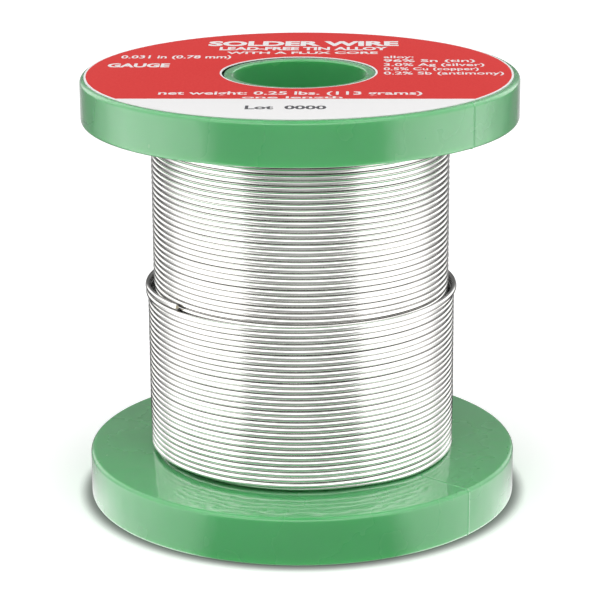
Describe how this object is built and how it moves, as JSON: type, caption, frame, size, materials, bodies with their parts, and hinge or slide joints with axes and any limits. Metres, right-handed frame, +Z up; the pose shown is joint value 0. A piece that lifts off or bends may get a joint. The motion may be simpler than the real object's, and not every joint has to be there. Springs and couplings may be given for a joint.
{
  "type": "solder wire spool",
  "caption": "Ribbed plastic spool with thick flanges and a central bore, close-wound with bright cored solder wire in layers, under a round paper label.",
  "frame": {"origin": "centre of the circle that the lower flange's rim stands on", "axes": "+Z up along the spool's bore, towards the labelled flange; -Y towards the viewer of the label's writing band"},
  "size_m": [0.06, 0.06, 0.0601],
  "materials": {
    "spool_plastic": "green polypropylene, moulded, satin to glossy, slightly translucent",
    "label_paper": "coated paper printed red, with a white writing band and white margins",
    "solder_alloy": "bright drawn tin alloy wire",
    "flux": "amber flux, glassy where it is cut"
  },
  "bodies": {
    "spool": {"spool_body": "spool_plastic", "top_label": "label_paper", "wire_layer_1": "solder_alloy", "wire_layer_2": "solder_alloy", "wire_layer_3": "solder_alloy", "wire_layer_4": "solder_alloy", "wire_layer_5": "solder_alloy", "wire_last_turn": "solder_alloy", "wire_anchor_tail": "solder_alloy"},
    "free_end": {"wire_free_end": "solder_alloy", "flux_core": "flux"}
  },
  "joints": [
    {"name": "free_end_lift", "type": "hinge", "parent": "spool", "child": "free_end", "pos_m": [-0.01264, 0.01677, 0.03038], "axis": [0, 0, -1], "range_deg": [0, 80]}
  ]
}
